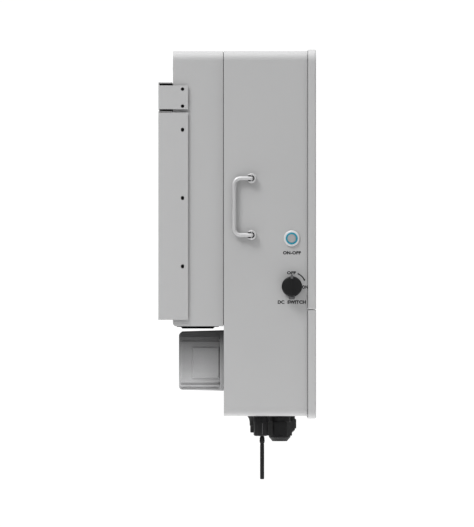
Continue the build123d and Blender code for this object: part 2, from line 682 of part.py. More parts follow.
def antenna_whip():
    """Tapered whip on a tongue that tilts in the collar's fork."""
    shoulder = -KNUCKLE_DROP - 8.2
    tongue = block((MODULE_X - 2.3, MODULE_X + 2.3), (ANTENNA_DEPTH - 4.5, ANTENNA_DEPTH + 4.5),
                   (shoulder - 1, -KNUCKLE_DROP))
    tongue += disc_x((MODULE_X - 2.3, MODULE_X + 2.3), ANTENNA_DEPTH, -KNUCKLE_DROP, 4.5)
    tongue -= disc_x((MODULE_X - 5, MODULE_X + 5), ANTENNA_DEPTH, -KNUCKLE_DROP, 1.55)
    whip = cone_z(MODULE_X, ANTENNA_DEPTH, (-ANTENNA_LENGTH, shoulder), (4.3, 5.0))
    whip = fillet(whip.faces().sort_by(Axis.Z)[0].edges(), 3)
    return tongue + whip


def earth_stud():
    stud = disc_z(EARTH_X, EARTH_DEPTH, (-18, 8), 4)
    outer_nut = hex_z(EARTH_X, EARTH_DEPTH, (-6, 0), 7.5)
    inner_nut = hex_z(EARTH_X, EARTH_DEPTH, (SHEET, SHEET + 5), 7.5)
    return stud + outer_nut + inner_nut


def vent_plug():
    cap = disc_z(VENT_X, VENT_DEPTH, (-6, 0), 9)
    return chamfer(cap.faces().sort_by(Axis.Z)[0].edges(), 2) + disc_z(VENT_X, VENT_DEPTH, (0, 8), 4.9)


# ---- inside the housing -------------------------------------------------------------------------
INNER = SIDE - SHEET - 1


def partition_plate():
    plate = block((-INNER, INNER), (HOUSING_REAR + SHEET, HOUSING_FRONT - 8), (COVER_SPLIT, COVER_SPLIT + 2))
    cutouts = [block((x - 20, x + 20), (190, 215), (COVER_SPLIT - 1, COVER_SPLIT + 3)) for x in (-100, 60)]
    switch_room = block((-INNER - 1, LEFT + 96), (SWITCH_DEPTH - 36, HOUSING_FRONT),
                        (COVER_SPLIT - 1, COVER_SPLIT + 3))
    return cut(plate, cutouts + [switch_room])


BOARD_DEPTH = 186.0


def power_board():
    return block((-225, 225), (BOARD_DEPTH, BOARD_DEPTH + 2.4), (370, 860))


def control_board():
    return block((-120, 150), (300, 302), (560, 800))


def power_modules():
    return [
        block((x - 28, x + 28), (HOUSING_REAR + 0.2, HOUSING_REAR + 17), (h - 50, h + 50))
        for x in (-140, 0, 140) for h in (520, 700)
    ]


def dc_capacitors():
    return [disc_y(x, (BOARD_DEPTH + 2.4, BOARD_DEPTH + 60), h, 17)
            for x in range(-120, 121, 40) for h in (400, 440)]


def output_relays():
    depth = (BOARD_DEPTH + 2.4, BOARD_DEPTH + 34)
    return [block((x - 14, x + 14), depth, (800, 835)) for x in range(-60, 181, 40)]


def standoffs():
    return [disc_y(x, (BOARD_DEPTH + 2.4, 300), h, 4) for x in (-110, 140) for h in (570, 790)]


def terminal_block(x, poles, pitch):
    """Row of screw clamps with open wire mouths below."""
    wide = poles * pitch
    low = 110
    body = block((x - wide / 2, x + wide / 2), (HOUSING_REAR + SHEET, 200), (low, low + 55))
    mouths = []
    for i in range(poles):
        cx = x + (i - (poles - 1) / 2) * pitch
        mouths.append(disc_z(cx, 182, (low - 1, low + 30), pitch * 0.28))
        mouths.append(disc_y(cx, (190, 201), low + 40, pitch * 0.2))
    return cut(body, mouths)


def surge_protectors():
    return [block((x - 8, x + 8), (HOUSING_REAR + SHEET, 225), (195, 250)) for x in range(-60, 61, 20)]


# ---- write one file for each node ---------------------------------------------------------------
def main():
    os.makedirs("parts", exist_ok=True)
    save("main_housing", main_housing())
    save("front_cover_upper", front_cover_upper())
    save("front_cover_lower", front_cover_lower())
    save("cover_seal_upper", cover_seal((COVER_SPLIT + 4, HEIGHT - 4)))
    save("cover_seal_lower", cover_seal((4, COVER_SPLIT - 4)))
    save("cover_screws", cover_screws())
    save("status_window", status_window())
    save("status_lights", status_lights())
    save("shroud_seal", shroud_seal())
    save("heat_sink", heat_sink())
    save("rear_shroud", rear_shroud())
    save("fan_guards", fan_guards())
    for i, x in enumerate(fan_xs(), 1):
        save(f"fan_{i}_frame", fan_frame(x))
        save(f"fan_{i}_rotor", fan_rotor(x))
        save(f"inductor_coil_{i}", inductor_coil(x))
    save("inductor_box", inductor_box())
    save("inductor_box_screws", inductor_box_screws())
    save("wall_bracket", wall_bracket())
    save("rear_frame", rear_frame())
    save("hanger_bar", hanger_bar())
    for side, sign in (("left", -1), ("right", 1)):
        save(f"handle_{side}", handle(sign))
        save(f"handle_bosses_{side}", handle_bosses(sign))
    save("power_button_bezel", power_button_bezel())
    save("power_button_light_ring", power_button_light_ring())
    save("power_button_cap", power_button_cap())
    save("power_button_switch", power_button_switch())
    save("dc_switch_base", dc_switch_base())
    save("dc_switch_knob", dc_switch_knob())
    save("dc_switch_body", dc_switch_body())
    save("large_gland_bodies", large_gland_bodies())
    save("large_gland_caps", large_gland_caps())
    save("large_gland_inserts", large_gland_inserts())
    save("small_gland_bodies", small_gland_bodies())
    save("small_gland_caps", small_gland_caps())
    for node, depth in PV_DEPTHS.items():
        save(node, pv_sockets(depth))
    save("module_nut", module_nut())
    save("module_body", module_body())
    save("antenna_base", antenna_base())
    save("antenna_whip", antenna_whip())
    save("earth_stud", earth_stud())
    save("vent_plug", vent_plug())
    save("partition_plate", partition_plate())
    save("power_board", power_board())
    save("control_board", control_board())
    save("power_modules", power_modules())
    save("dc_capacitors", dc_capacitors())
    save("output_relays", output_relays())
    save("standoffs", standoffs())
    save("ac_terminal_block", terminal_block(150, 5, 24))
    save("dc_terminal_block", terminal_block(-110, 8, 16))
    save("surge_protectors", surge_protectors())


main()
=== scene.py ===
import json
import math
import bmesh
import bpy
from mathutils import Matrix, Vector


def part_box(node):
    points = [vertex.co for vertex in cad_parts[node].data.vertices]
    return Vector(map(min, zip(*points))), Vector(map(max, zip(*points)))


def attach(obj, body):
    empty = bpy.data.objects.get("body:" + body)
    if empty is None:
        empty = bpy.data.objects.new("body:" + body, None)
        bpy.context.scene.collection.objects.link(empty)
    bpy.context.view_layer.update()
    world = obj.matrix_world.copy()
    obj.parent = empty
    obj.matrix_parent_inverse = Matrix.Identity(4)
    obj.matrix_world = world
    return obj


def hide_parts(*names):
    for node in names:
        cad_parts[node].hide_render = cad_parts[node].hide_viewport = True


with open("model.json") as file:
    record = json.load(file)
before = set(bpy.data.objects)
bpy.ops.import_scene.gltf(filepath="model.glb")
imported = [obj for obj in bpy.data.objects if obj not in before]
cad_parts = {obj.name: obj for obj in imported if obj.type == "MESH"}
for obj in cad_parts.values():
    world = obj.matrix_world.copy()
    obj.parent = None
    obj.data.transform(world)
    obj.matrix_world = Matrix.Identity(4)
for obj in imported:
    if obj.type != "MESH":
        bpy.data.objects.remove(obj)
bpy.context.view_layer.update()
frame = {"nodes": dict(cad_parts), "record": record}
NODES = frame["nodes"]

# The inverter hangs on a wall at y = 0, front towards -Y, its left side towards -X. Metres.
MM = 0.001


# ---- mesh tools ---------------------------------------------------------------------------------
def link(name, mesh, material):
    piece = bpy.data.objects.new(name, mesh)
    bpy.context.scene.collection.objects.link(piece)
    mesh.materials.append(material)
    return piece


def to_object(name, bm, material, smooth=True, sharp_deg=35):
    """Object from a bmesh, with edges sharper than sharp_deg kept sharp."""
    bmesh.ops.recalc_face_normals(bm, faces=bm.faces[:])
    for face in bm.faces:
        face.smooth = smooth
    for edge in bm.edges:
        if len(edge.link_faces) == 2:
            edge.smooth = edge.calc_face_angle(0) < math.radians(sharp_deg)
    mesh = bpy.data.meshes.new(name)
    bm.to_mesh(mesh)
    bm.free()
    return link(name, mesh, material)


def axis_matrix(origin, direction):
    """Matrix that takes +Z at the world's origin to direction at origin."""
    turn = Vector((0, 0, 1)).rotation_difference(Vector(direction)).to_matrix().to_4x4()
    return Matrix.Translation(Vector(origin)) @ turn


def lathe_into(bm, profile, origin, direction, segments=96, ripple=None, hollow=False):
    """Turned solid. profile is (radius, distance) pairs in mm from one end of the axis to the other,
    or, for a hollow one, all the way round its wall.

    ripple(angle, radius, distance) gives the radius to use, for ribs and flats.
    """
    place = axis_matrix(origin, direction)
    rings = []
    for radius, distance in profile:
        ring = []
        for i in range(segments):
            angle = 2 * math.pi * i / segments
            r = ripple(angle, radius, distance) if ripple else radius
            point = Vector((r * math.cos(angle), r * math.sin(angle), distance)) * MM
            ring.append(bm.verts.new(place @ point))
        rings.append(ring)
    following = rings[1:] + rings[:1] if hollow else rings[1:]
    for low, high in zip(rings, following):
        for i in range(segments):
            j = (i + 1) % segments
            bm.faces.new((low[i], low[j], high[j], high[i]))
    if not hollow:
        bm.faces.new(rings[0])
        bm.faces.new(rings[-1])


def block_into(bm, low, high, bevel=0.0, segments=3):
    """Box between two corners in metres, its edges rounded by bevel mm."""
    xs, ys, zs = zip(low, high)
    verts = [bm.verts.new((x, y, z)) for x in xs for y in ys for z in zs]
    quads = ((0, 1, 3, 2), (4, 6, 7, 5), (0, 4, 5, 1), (2, 3, 7, 6), (0, 2, 6, 4), (1, 5, 7, 3))
    faces = [bm.faces.new([verts[i] for i in quad]) for quad in quads]
    if bevel:
        edges = list({edge for face in faces for edge in face.edges})
        bmesh.ops.bevel(bm, geom=edges, offset=bevel * MM, segments=segments, profile=0.5,
                        affect="EDGES", clamp_overlap=True)


# ---- materials ----------------------------------------------------------------------------------
class Shader:
    """Small helper around one node material."""

    def __init__(self, name):
        self.material = bpy.data.materials.new(name)
        self.material.use_nodes = True
        self.tree = self.material.node_tree
        self.bsdf = self.tree.nodes["Principled BSDF"]
        self.place = self.node("ShaderNodeTexCoord").outputs["Object"]

    def node(self, kind, **settings):
        made = self.tree.nodes.new(kind)
        for key, value in settings.items():
            setattr(made, key, value)
        return made

    def link(self, source, target):
        self.tree.links.new(source, target)

    def stretched(self, scale):
        mapping = self.node("ShaderNodeMapping")
        mapping.inputs["Scale"].default_value = scale
        self.link(self.place, mapping.inputs["Vector"])
        return mapping.outputs["Vector"]

    def noise(self, scale, detail=4.0, rough=0.5, stretch=(1, 1, 1)):
        made = self.node("ShaderNodeTexNoise")
        made.inputs["Scale"].default_value = scale
        made.inputs["Detail"].default_value = detail
        made.inputs["Roughness"].default_value = rough
        self.link(self.stretched(stretch), made.inputs["Vector"])
        return made.outputs["Fac"]

    def along(self, axis, start, end, low, high):
        """Value that runs from low to high between two places along an axis."""
        parts = self.node("ShaderNodeSeparateXYZ")
        self.link(self.place, parts.inputs["Vector"])
        return self.spread(parts.outputs[axis], low, high, start, end)

    def cells(self, scale, feature="F1"):
        made = self.node("ShaderNodeTexVoronoi", feature=feature)
        made.inputs["Scale"].default_value = scale
        self.link(self.place, made.inputs["Vector"])
        return made

    def spread(self, source, low, high, start=0.3, end=0.7):
        """Source remapped from start..end to low..high."""
        made = self.node("ShaderNodeMapRange")
        for key, value in (("From Min", start), ("From Max", end), ("To Min", low), ("To Max", high)):
            made.inputs[key].default_value = value
        self.link(source, made.inputs["Value"])
        return made.outputs["Result"]

    def ramp(self, source, *stops):
        """Colour ramp from (position, colour) stops."""
        made = self.node("ShaderNodeValToRGB")
        elements = made.color_ramp.elements
        for element, (position, colour) in zip(elements, (stops[0], stops[-1])):
            element.position = position
            element.color = (*colour, 1)
        for position, colour in stops[1:-1]:
            elements.new(position).color = (*colour, 1)
        self.link(source, made.inputs["Fac"])
        return made.outputs["Color"]

    def mix(self, amount, first, second, blend="MIX"):
        made = self.node("ShaderNodeMix", data_type="RGBA", blend_type=blend)
        self.fill(made.inputs[0], amount)
        self.fill(made.inputs[6], first)
        self.fill(made.inputs[7], second)
        return made.outputs[2]

    def fill(self, socket, value):
        if isinstance(value, bpy.types.NodeSocket):
            self.link(value, socket)
        elif isinstance(value, tuple):
            socket.default_value = (*value, 1)
        else:
            socket.default_value = value

    def bumps(self, *layers):
        """Chain of bump maps from (height socket, depth in mm, strength)."""
        normal = None
        for height, depth, strength in layers:
            made = self.node("ShaderNodeBump")
            made.inputs["Distance"].default_value = depth * MM
            made.inputs["Strength"].default_value = strength
            self.link(height, made.inputs["Height"])
            if normal:
                self.link(normal, made.inputs["Normal"])
            normal = made.outputs["Normal"]
        self.link(normal, self.bsdf.inputs["Normal"])

    def set(self, **values):
        for key, value in values.items():
            self.fill(self.bsdf.inputs[key.replace("_", " ")], value)


def near(colour, factor):
    return tuple(min(c * factor, 1.0) for c in colour)


def powder_paint(name, colour, roughness=0.42):
    """Powder coat: orange-peel texture, faint cloudiness and small dust specks."""
    s = Shader(name)
    cloud = s.noise(2.2, detail=3)
    fine = s.noise(900, detail=2)
    tone = s.ramp(cloud, (0.3, near(colour, 0.975)), (0.7, near(colour, 1.025)))
    tone = s.mix(s.spread(fine, 0.0, 0.10, 0.55, 0.75), tone, near(colour, 0.8))
    s.set(Base_Color=tone, Roughness=s.spread(s.noise(300), roughness - 0.05, roughness + 0.06))
    s.set(Specular_IOR_Level=0.42)
    s.bumps((s.noise(420, detail=3), 0.05, 0.35), (fine, 0.02, 0.25))
    return s.material


def galvanised(name, colour, roughness=0.45):
    """Zinc-coated sheet under a thin coat: soft spangle and rolling streaks."""
    s = Shader(name)
    spangle = s.cells(160).outputs["Color"]
    streaks = s.noise(14, stretch=(1, 1, 26))
    tone = s.ramp(streaks, (0.3, near(colour, 0.95)), (0.7, near(colour, 1.04)))
    tone = s.mix(0.05, tone, spangle, "OVERLAY")
    uneven = s.spread(s.noise(180), roughness - 0.07, roughness + 0.08)
    s.set(Base_Color=tone, Metallic=0.25, Roughness=uneven)
    s.bumps((s.noise(500), 0.03, 0.3))
    return s.material


def casting(name, colour, roughness=0.55):
    """Sand-cast aluminium: grainy skin, pits, darker flow marks, and painted shade towards the top, the
    front and the top band.
    """
    s = Shader(name)
    low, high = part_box("inductor_box")
    grain = s.noise(700, detail=6, rough=0.65)
    flow = s.noise(9, detail=5, stretch=(1, 1, 2.2))
    pits = s.cells(420, "SMOOTH_F1").outputs["Distance"]
    tone = s.ramp(flow, (0.28, near(colour, 0.88)), (0.72, near(colour, 1.1)))
    tone = s.mix(s.spread(grain, 0, 0.3), tone, near(colour, 0.72))
    tall = high.z - low.z
    # Painted shade: darker towards the top, darker towards the front, and nearly black along the top band
    # under the shroud.
    painted_shade_up = s.along("Z", low.z + 0.1 * tall, high.z - 0.25 * tall, 0, 0.86)
    forward = s.along("Y", high.y - 0.055, low.y, 0, 0.35)
    crown = s.along("Z", high.z - 0.24 * tall, high.z - 0.04 * tall, 0, 0.82)
    tone = s.mix(painted_shade_up, tone, near(colour, 0.3))
    tone = s.mix(forward, tone, near(colour, 0.35))
    tone = s.mix(crown, tone, near(colour, 0.04))
    s.set(Base_Color=tone, Metallic=0.2, Roughness=s.spread(grain, roughness - 0.1, roughness + 0.15))
    s.bumps((grain, 0.12, 0.6), (pits, 0.1, 0.35))
    return s.material


def moulded(name, colour, roughness=0.5, gloss=0.5):
    """Moulded plastic: spark-eroded grain and slight handling sheen."""
    s = Shader(name)
    grain = s.noise(1500, detail=3, rough=0.6)
    wear = s.noise(22, detail=4)
    tone = s.ramp(wear, (0.3, near(colour, 0.88)), (0.7, near(colour, 1.14)))
    s.set(Base_Color=tone, Roughness=s.spread(wear, roughness - 0.07, roughness + 0.08))
    s.set(Specular_IOR_Level=gloss)
    s.bumps((grain, 0.04, 0.5))
    return s.material


def rubber(name, colour):
    s = Shader(name)
    grain = s.noise(1100, detail=4)
    tone = s.ramp(grain, (0.3, near(colour, 0.8)), (0.7, near(colour, 1.25)))
    s.set(Base_Color=tone, Roughness=s.spread(s.noise(60), 0.68, 0.86))
    s.bumps((grain, 0.06, 0.5))
    return s.material


def machined(name, colour, roughness=0.3, stretch=(1, 1, 40)):
    """Bare metal with fine tool lines."""
    s = Shader(name)
    lines = s.noise(120, detail=5, stretch=stretch)
    tone = s.ramp(lines, (0.3, near(colour, 0.86)), (0.7, near(colour, 1.08)))
    s.set(Base_Color=tone, Metallic=1.0, Roughness=s.spread(lines, roughness - 0.06, roughness + 0.1))
    s.bumps((lines, 0.02, 0.35))
    return s.material


def winding(name):
    """Enamelled copper turns around a ring, seen as fine spokes."""
    s = Shader(name)
    turns = s.node("ShaderNodeTexWave", wave_type="BANDS", bands_direction="X")
    turns.inputs["Scale"].default_value = 90
    turns.inputs["Distortion"].default_value = 1.2
    s.link(s.place, turns.inputs["Vector"])
    tone = s.ramp(turns.outputs["Fac"], (0.1, (0.16, 0.06, 0.025)), (0.8, (0.6, 0.27, 0.12)))
    s.set(Base_Color=tone, Metallic=0.8, Roughness=s.spread(s.noise(80), 0.25, 0.42))
    s.bumps((turns.outputs["Fac"], 0.5, 0.7))
    return s.material


def circuit_board(name):
    """Solder-masked board: copper tracks under green lacquer."""
    s = Shader(name)
    tracks = s.node("ShaderNodeTexBrick")
    tracks.inputs["Scale"].default_value = 60
    tracks.inputs["Mortar Size"].default_value = 0.06
    tracks.inputs["Color1"].default_value = (0.012, 0.12, 0.045, 1)
    tracks.inputs["Color2"].default_value = (0.016, 0.15, 0.055, 1)
    tracks.inputs["Mortar"].default_value = (0.03, 0.24, 0.09, 1)
    s.link(s.place, tracks.inputs["Vector"])
    s.set(Base_Color=tracks.outputs["Color"], Roughness=s.spread(s.noise(40), 0.28, 0.4), Coat_Weight=0.3)
    s.bumps((tracks.outputs["Fac"], 0.1, 0.4))
    return s.material


def lit_ring(name, colour):
    """Frosted light guide, softly lit from inside."""
    s = Shader(name)
    soft = s.noise(260, detail=3)
    tone = s.ramp(soft, (0.3, near(colour, 0.86)), (0.7, near(colour, 1.12)))
    s.set(Base_Color=tone, Roughness=s.spread(soft, 0.2, 0.34), Emission_Color=tone)
    s.set(Emission_Strength=0.10)
    s.bumps((soft, 0.03, 0.4))
    return s.material


def tinted_window(name):
    s = Shader(name)
    haze = s.noise(30, detail=4)
    tone = s.ramp(haze, (0.3, (0.012, 0.013, 0.016)), (0.7, (0.02, 0.022, 0.027)))
    s.set(Base_Color=tone, Roughness=s.spread(haze, 0.05, 0.12), Coat_Weight=0.6)
    s.bumps((s.noise(700), 0.005, 0.2))
    return s.material


PAINT = (0.362, 0.362, 0.364)
INK = (0.004, 0.004, 0.0045)


def printed_ink(name, colour):
    """Screen-printed ink: slightly uneven cover and a dry, matt surface."""
    s = Shader(name)
    cover = s.noise(600, detail=5)
    tone = s.ramp(cover, (0.25, near(colour, 1.5)), (0.6, colour))
    s.set(Base_Color=tone, Roughness=s.spread(cover, 0.5, 0.62), Specular_IOR_Level=0.3)
    return s.material


def brushed_handle(name, colour):
    """Satin-plated rod: fine polishing marks under a thin clear coat."""
    s = Shader(name)
    marks = s.noise(260, detail=5, stretch=(1, 1, 0.08))
    tone = s.ramp(marks, (0.3, near(colour, 0.97)), (0.7, near(colour, 1.03)))
    s.set(Base_Color=tone, Metallic=0.3, Roughness=s.spread(marks, 0.34, 0.4))
    s.bumps((marks, 0.006, 0.2))
    return s.material


MATERIALS = {
    "ink": printed_ink("caption_ink", INK),
    "painted_case": powder_paint("powder_coat_case", PAINT),
    "painted_cover": powder_paint("powder_coat_cover", near(PAINT, 1.04), 0.4),
    "handle_metal": brushed_handle("satin_handle", (0.46, 0.46, 0.463)),
    "galvanised_steel": galvanised("zinc_sheet", near(PAINT, 1.02)),
    "bracket_paint": powder_paint("powder_coat_bracket", near(PAINT, 1.01), 0.44),
    # Near-black coat for pieces seen through gaps and holes: painted shade that keeps those gaps and holes
    # dark.
    "dark_steel": powder_paint("near_black_coat_painted_shade", (0.012, 0.012, 0.012), 0.5),
    "cast_aluminium": casting("cast_aluminium_skin", (0.40, 0.40, 0.405)),
    "fin_aluminium": machined("extruded_aluminium", (0.66, 0.67, 0.69), 0.34),
    "seal_rubber": rubber("seal_rubber_black", (0.022, 0.022, 0.022)),
    "black_plastic": moulded("gland_plastic_black", (0.0065, 0.0065, 0.007), 0.48, 0.17),
    "knob_plastic": moulded("knob_plastic_black", (0.008, 0.008, 0.0085), 0.42, 0.2),
    "grey_plastic": moulded("grey_plastic_moulded", (0.07, 0.07, 0.073), 0.5, 0.3),
    "pointer_plastic": moulded("pointer_plastic_grey", (0.085, 0.085, 0.087), 0.45, 0.4),
    "stop_plastic": moulded("stop_tab_grey", (0.10, 0.10, 0.103), 0.5, 0.4),
    "cap_plastic": moulded("button_cap_plastic", (0.265, 0.265, 0.268), 0.4, 0.4),
    "light_ring": lit_ring("light_ring_frosted", (0.016, 0.2, 0.28)),
    "bezel_metal": brushed_handle("bezel_satin", (0.60, 0.60, 0.605)),
    "window": tinted_window("window_smoked"),
    "status_green": lit_ring("status_light_green", (0.05, 0.42, 0.10)),
    "steel_screw": machined("screw_steel", (0.55, 0.55, 0.56), 0.32),
    "dark_screw": machined("screw_blackened", (0.10, 0.10, 0.10), 0.4),
    "copper_coil": winding("copper_winding"),
    "board_green": circuit_board("board_lacquer_green"),
    "component_black": moulded("component_epoxy_black", (0.02, 0.02, 0.021), 0.45),
    "terminal_green": moulded("terminal_plastic_green", (0.03, 0.16, 0.06), 0.45),
    "brass_stud": machined("brass_turned", (0.72, 0.55, 0.26), 0.28),
}


def finish_nodes():
    """Every CAD node shows the finish that its slot in the record names, apart from the dark screws."""
    for part in frame["record"]["subparts"]:
        mesh = NODES[part["node"]].data
        mesh.materials.clear()
        mesh.materials.append(MATERIALS[part["material_slot"]])
    NODES["inductor_box_screws"].data.materials[0] = MATERIALS["dark_screw"]


def add(piece, body, slot, *replaced):
    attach(piece, body)
    if replaced:
        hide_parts(*replaced)
    return piece


# ---- places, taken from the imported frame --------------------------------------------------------
def mid(node):
    low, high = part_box(node)
    return (low + high) / 2


KNOB_HEIGHT = 316             # mm above the housing's underside
PIVOT_DROP = 60               # mm from the underside down to the antenna's tilt pin
HOLE_DEPTH = 59               # mm from the wall to the screw holes in the ears and flanges
HOLE_HEIGHTS = (365, 531.5, 698, 755.4, 797)
PV_SOCKETS_IN_ROW = 8

HOUSING_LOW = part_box("main_housing")[0]
SIDE_X = HOUSING_LOW.x        # the left side's face
UNDERSIDE = HOUSING_LOW.z
KNOB = Vector((SIDE_X, mid("dc_switch_base").y, UNDERSIDE + KNOB_HEIGHT * MM))
BUTTON = Vector((SIDE_X, mid("power_button_cap").y, mid("power_button_cap").z))


# ---- DC switch knob -----------------------------------------------------------------------------
def knob():
    """Round knob with a shallow roof-shaped face, its ridge upright, a pointer and a fixed stop tab."""
    rim, shoulder = 25.0, 22.6
    ridge, reach = 4.0, 22.0

    def ribs(angle, radius, distance):
        ribbed = radius > rim - 1 and 6 < distance < shoulder - 2
        return radius - (0.35 * (0.5 + 0.5 * math.cos(60 * angle)) if ribbed else 0)

    bm = bmesh.new()
    profile = [(5, -8), (5, 4.4), (rim - 0.8, 4.6), (rim, 5.2), (rim, 6.2), (rim, shoulder - 2.2),
               (rim - 0.4, shoulder - 1), (rim - 1.3, shoulder - 0.3), (rim - 2.8, shoulder)]
    profile += [(radius, shoulder + 0.3) for radius in (20, 16, 12, 8, 4, 0.5)]
    lathe_into(bm, profile, KNOB, (-1, 0, 0), 180, ribs)
    for vert in bm.verts:
        if (SIDE_X - vert.co.x) / MM > shoulder - 0.01:
            aside = abs(vert.co.y - KNOB.y) / MM
            vert.co.x -= ridge * max(1 - aside / reach, 0) * MM
    shell = to_object("dc_switch_knob_shell", bm, MATERIALS["knob_plastic"], sharp_deg=16)
    add(shell, "dc_switch", "knob_plastic", "dc_switch_knob")

    bm = bmesh.new()
    half, tip, foot, inner, outer = 3.2, 27.0, 4.6, 19.2, rim + 4.2
    block_into(bm, KNOB + Vector((-tip, -half, inner)) * MM, KNOB + Vector((-foot, half, outer)) * MM, 0.7)
    pointer = to_object("dc_switch_pointer", bm, MATERIALS["pointer_plastic"])
    add(pointer, "dc_switch", "knob_plastic")

    bm = bmesh.new()
    half, tip, foot = 6.2, 6.0, 0.2
    low = KNOB + Vector((-tip, -half, -rim - 5.6)) * MM
    block_into(bm, low, KNOB + Vector((-foot, half, 4 - rim)) * MM, 0.8)
    stop = to_object("dc_switch_stop_tab", bm, MATERIALS["stop_plastic"])
    add(stop, "inverter", "grey_plastic")


# ---- power button -------------------------------------------------------------------------------
def power_button():
    """Slightly dished cap, and the frosted light guide around it that the cap slides through."""
    cap, front, back = 10.2, 5.5, -14
    inner, outer = cap + 0.2, 14.7
    face = (SIDE_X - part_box("power_button_light_ring")[0].x) / MM + 0.25
    bm = bmesh.new()
    profile = [(0.5, back), (cap, back), (cap, front - 0.8), (cap - 0.3, front - 0.2), (cap - 1, front),
               (cap - 1.8, front - 0.2), (0.5, front - 0.4)]
    lathe_into(bm, profile, BUTTON, (-1, 0, 0), 128)
    button = to_object("power_button_dished_cap", bm, MATERIALS["cap_plastic"])
    add(button, "power_button", "cap_plastic", "power_button_cap")

    bm = bmesh.new()
    profile = [(inner, face - 0.9), (outer, face - 0.9), (outer, face - 0.25), (outer - 0.3, face),
               (inner + 0.3, face), (inner, face - 0.25)]
    lathe_into(bm, profile, BUTTON, (-1, 0, 0), 128, hollow=True)
    ring = to_object("power_button_light_guide", bm, MATERIALS["light_ring"])
    add(ring, "inverter", "light_ring", "power_button_light_ring")


# ---- lettering for the controls -----------------------------------------------------------------
INK_LIFT = 0.06               # mm that the ink stands off the paint


def caption(name, words, forward, up, width, cap_height):
    """Generic function lettering on the left side, centred at an offset in mm from the knob's axis."""
    curve = bpy.data.curves.new(name, "FONT")
    curve.body = words
    curve.space_character = 1.08
    curve.offset = 0.055
    text = bpy.data.objects.new(name, curve)
    bpy.context.scene.collection.objects.link(text)
    bpy.context.view_layer.update()
    mesh = bpy.data.meshes.new_from_object(text.evaluated_get(bpy.context.evaluated_depsgraph_get()))
    bpy.data.objects.remove(text)
    low = Vector([min(v.co[i] for v in mesh.vertices) for i in range(3)])
    high = Vector([max(v.co[i] for v in mesh.vertices) for i in range(3)])
    centre = (low + high) / 2
    for v in mesh.vertices:
        across = (v.co.x - centre.x) / (high.x - low.x) * width
        along = (v.co.y - centre.y) / (high.y - low.y) * cap_height
        v.co = KNOB + Vector((-INK_LIFT, -(forward + across), up + along)) * MM
    mesh.materials.clear()
    return finish_ink(name, mesh)


def finish_ink(name, mesh):
    piece = link(name, mesh, MATERIALS["ink"])
    solid = piece.modifiers.new("film", "SOLIDIFY")
    solid.thickness = INK_LIFT * MM
    solid.offset = 0
    return add(piece, "inverter", "seal_rubber")


def turn_arrow():
    """Arc from OFF towards ON, with a small head at its end. Angles are in degrees from level."""
    radius, half, barb, first, last, tip, steps = 34.5, 1.45, 2.6, 66, 29, 22.5, 24
    sweep = [first + (last - first) * i / steps for i in range(steps + 1)]
    outline = [(radius + half, angle) for angle in sweep]
    outline += [(radius + barb, last), (radius, tip), (radius - barb, last)]
    outline += [(radius - half, angle) for angle in reversed(sweep)]
    bm = bmesh.new()
    verts = []
    for r, degrees in outline:
        angle = math.radians(degrees)
        offset = Vector((-INK_LIFT, -r * math.cos(angle), r * math.sin(angle)))
        verts.append(bm.verts.new(KNOB + offset * MM))
    face = bm.faces.new(verts)
    bmesh.ops.triangulate(bm, faces=[face])
    mesh = bpy.data.meshes.new("turn_arrow")
    bm.to_mesh(mesh)
    bm.free()
    finish_ink("turn_arrow", mesh)


def lettering():
    caption("caption_button", "ON-OFF", 0.0, 82.1, 43.5, 8.2)
    caption("caption_off", "OFF", -1.2, 33.4, 21.5, 7.6)
    caption("caption_on", "ON", 31.7, -1.3, 13.8, 8.6)
    caption("caption_switch_kind", "DC", -26.3, -38.0, 16.4, 8.6)
    caption("caption_switch_word", "SWITCH", 11.6, -38.0, 45.0, 8.6)
    turn_arrow()


# ---- cable glands -------------------------------------------------------------------------------
def gland_nuts(name, node, radius, bore, start, length, tip):
    """Dome nuts: hexagonal barrel with a groove, round stepped dome, open bore. Distances are mm down."""
    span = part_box(node)
    end = start + length
    barrel = start + 0.77 * length
    profile = [
        (bore, start), (radius - 1.6, start), (radius, start + 1.4), (radius, start + 6),
        (radius, barrel - 6), (radius, barrel - 2.6), (radius - 1.1, barrel - 1.9),
        (radius - 1.1, barrel - 1.3), (radius - 0.4, barrel - 0.6), (radius - 0.9, barrel + 0.9),
        (radius - 2.0, barrel + 2.6),
        (radius - 3.8, barrel + 4.6), (radius - 5.0, barrel + 5.6), (tip + 1.4, end - 2.2),
        (tip + 0.3, end - 0.5), (tip - 0.4, end), (bore + 0.6, end), (bore, end - 1),
    ]

    def hexagon(angle, r, distance):
        if r < radius - 1.7 or distance > barrel - 2.2:
            return r
        return r * min(1 / math.cos(angle % math.radians(60) - math.radians(30)), 1.11)

    bm = bmesh.new()
    for x in (span[0].x + radius * MM, span[1].x - radius * MM):
        lathe_into(bm, profile, (x, mid(node).y, UNDERSIDE), (0, 0, -1), 192, hexagon, hollow=True)
    nuts = to_object(name, bm, MATERIALS["black_plastic"], sharp_deg=24)
    add(nuts, "inverter", "black_plastic", node)


def pv_sockets(node):
    """Panel sockets: flared flange, stepped barrel, rounded mouth."""
    low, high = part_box(node)
    flange, barrel, nose, bore, depth = 15.5, 10.2, 8.8, 6.0, 41.6
    profile = [
        (flange, 0), (flange, 2.2), (flange - 1.1, 3.6), (12.0, 8), (11.0, 13), (barrel, 17), (barrel, 24),
        (barrel - 0.7, 24.8), (nose + 0.3, 25.2), (nose, 26.5), (nose, depth - 1), (nose - 0.8, depth),
        (bore + 0.7, depth), (bore, depth - 0.8), (bore, 0),
    ]
    bm = bmesh.new()
    first, last = low.x + flange * MM, high.x - flange * MM
    for i in range(PV_SOCKETS_IN_ROW):
        x = first + (last - first) * i / (PV_SOCKETS_IN_ROW - 1)
        lathe_into(bm, profile, (x, mid(node).y, UNDERSIDE), (0, 0, -1), 64, hollow=True)
    add(to_object(node + "_turned", bm, MATERIALS["black_plastic"]), "inverter", "black_plastic", node)


